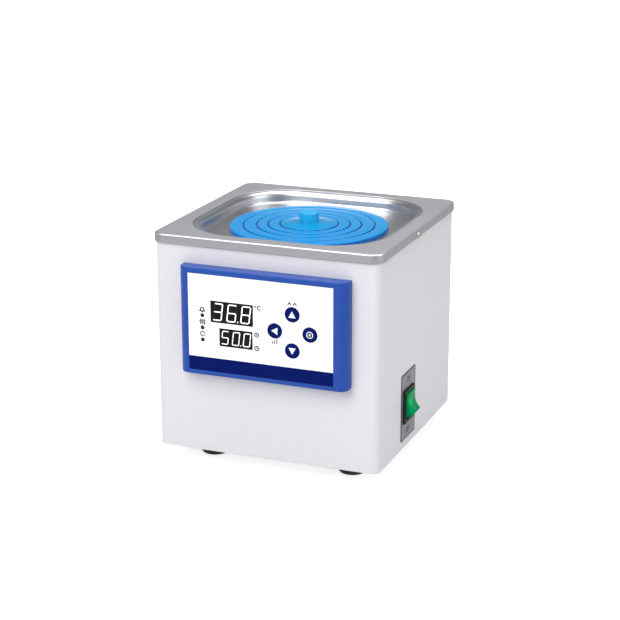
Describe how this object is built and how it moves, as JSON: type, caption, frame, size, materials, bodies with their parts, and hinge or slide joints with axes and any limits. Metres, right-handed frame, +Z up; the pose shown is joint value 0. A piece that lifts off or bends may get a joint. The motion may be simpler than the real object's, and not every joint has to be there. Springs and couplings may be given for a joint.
{
  "type": "water bath",
  "caption": "Small bench water bath with a recessed steel deck, a round hole closed by nested reducing rings and a knobbed lid, a front control panel and a side rocker switch.",
  "frame": {"origin": "on the floor under the middle of the whole bath's extents, which is 2.75 mm to the right of the casing's own middle because the switch stands out on the right", "axes": "+Z up, the control panel faces -Y, the side switch faces +X, the cord gland faces +Y"},
  "size_m": [0.2187, 0.2307, 0.2134],
  "materials": {
    "painted_shell": "white powder coat, fine orange peel",
    "satin_cover": "satin",
    "polished_deck": "polished",
    "drawn_steel": "smooth",
    "plated_steel": "zinc plated",
    "ring_blue": "gloss",
    "panel_blue": "semi-gloss",
    "overlay_white": "printed film",
    "display_dark": "gloss",
    "lamp_red": "clear lens",
    "key_blue": "satin",
    "board_green": "solder mask",
    "black_plastic": "fine texture",
    "plate_grey": "brushed",
    "rocker_green": "translucent",
    "foot_rubber": "matte",
    "insulation_wool": "fibrous",
    "contact_brass": "smooth",
    "copper_winding": "varnished"
  },
  "bodies": {
    "instrument": {"casing": "painted_shell", "rear_panel": "painted_shell", "base_plate": "painted_shell", "top_cover": "satin_cover", "well_deck": "polished_deck", "tank": "drawn_steel", "tank_insulation": "insulation_wool", "heater_element": "drawn_steel", "heater_bushings": "contact_brass", "temperature_probe": "drawn_steel", "probe_gland": "contact_brass", "panel_housing": "panel_blue", "panel_overlay": "overlay_white", "pv_display": "display_dark", "sv_display": "display_dark", "indicator_lamp_1": "lamp_red", "indicator_lamp_2": "lamp_red", "indicator_lamp_3": "lamp_red", "control_board": "board_green", "key_switch_up": "black_plastic", "key_switch_left": "black_plastic", "key_switch_down": "black_plastic", "key_switch_set": "black_plastic", "board_screws": "plated_steel", "panel_screws": "plated_steel", "power_board": "board_green", "board_spacers": "plated_steel", "power_transformer": "copper_winding", "heater_relay": "black_plastic", "terminal_block": "board_green", "switch_plate": "plate_grey", "switch_housing": "black_plastic", "switch_terminals": "contact_brass", "cord_gland": "black_plastic", "gland_nut": "black_plastic", "fuse_holder": "black_plastic", "foot_front_left": "foot_rubber", "foot_front_right": "foot_rubber", "foot_rear_left": "foot_rubber", "foot_rear_right": "foot_rubber", "foot_screws": "plated_steel", "base_screws": "plated_steel", "rear_screws": "plated_steel", "cover_screws": "plated_steel", "earth_stud": "contact_brass"},
    "ring_outer": {"ring_outer": "ring_blue"},
    "ring_second": {"ring_second": "ring_blue"},
    "ring_third": {"ring_third": "ring_blue"},
    "ring_fourth": {"ring_fourth": "ring_blue"},
    "centre_lid": {"centre_lid": "ring_blue", "lid_knob": "ring_blue", "knob_screw": "plated_steel"},
    "rocker": {"rocker": "rocker_green"},
    "key_up": {"key_up": "key_blue"},
    "key_left": {"key_left": "key_blue"},
    "key_down": {"key_down": "key_blue"},
    "key_set": {"key_set": "key_blue"},
    "shelf": {"shelf": "drawn_steel"},
    "fuse_cap": {"fuse_cap": "black_plastic"}
  },
  "joints": [
    {"name": "ring_outer_lift", "type": "slide", "parent": "instrument", "child": "ring_outer", "axis": [0, 0, 1], "range_m": [0, 0.12]},
    {"name": "ring_second_lift", "type": "slide", "parent": "ring_outer", "child": "ring_second", "axis": [0, 0, 1], "range_m": [0, 0.12]},
    {"name": "ring_third_lift", "type": "slide", "parent": "ring_second", "child": "ring_third", "axis": [0, 0, 1], "range_m": [0, 0.12]},
    {"name": "ring_fourth_lift", "type": "slide", "parent": "ring_third", "child": "ring_fourth", "axis": [0, 0, 1], "range_m": [0, 0.12]},
    {"name": "centre_lid_lift", "type": "slide", "parent": "ring_fourth", "child": "centre_lid", "axis": [0, 0, 1], "range_m": [0, 0.12]},
    {"name": "rocker_tilt", "type": "hinge", "parent": "instrument", "child": "rocker", "pos_m": [0.09615, -0.0256, 0.0543], "axis": [0, 1, 0], "range_deg": [0, 30]},
    {"name": "shelf_lift", "type": "slide", "parent": "instrument", "child": "shelf", "axis": [0, 0, 1], "range_m": [0, 0.08]},
    {"name": "fuse_cap_turn", "type": "hinge", "parent": "instrument", "child": "fuse_cap", "pos_m": [0.02525, 0.108, 0.038], "axis": [0, 1, 0], "range_deg": [0, 60]},
    {"name": "key_up_press", "type": "slide", "parent": "instrument", "child": "key_up", "axis": [0, 1, 0], "range_m": [0, 0.0004], "stiffness_N_per_m": 400},
    {"name": "key_left_press", "type": "slide", "parent": "instrument", "child": "key_left", "axis": [0, 1, 0], "range_m": [0, 0.0004], "stiffness_N_per_m": 400},
    {"name": "key_down_press", "type": "slide", "parent": "instrument", "child": "key_down", "axis": [0, 1, 0], "range_m": [0, 0.0004], "stiffness_N_per_m": 400},
    {"name": "key_set_press", "type": "slide", "parent": "instrument", "child": "key_set", "axis": [0, 1, 0], "range_m": [0, 0.0004], "stiffness_N_per_m": 400}
  ]
}
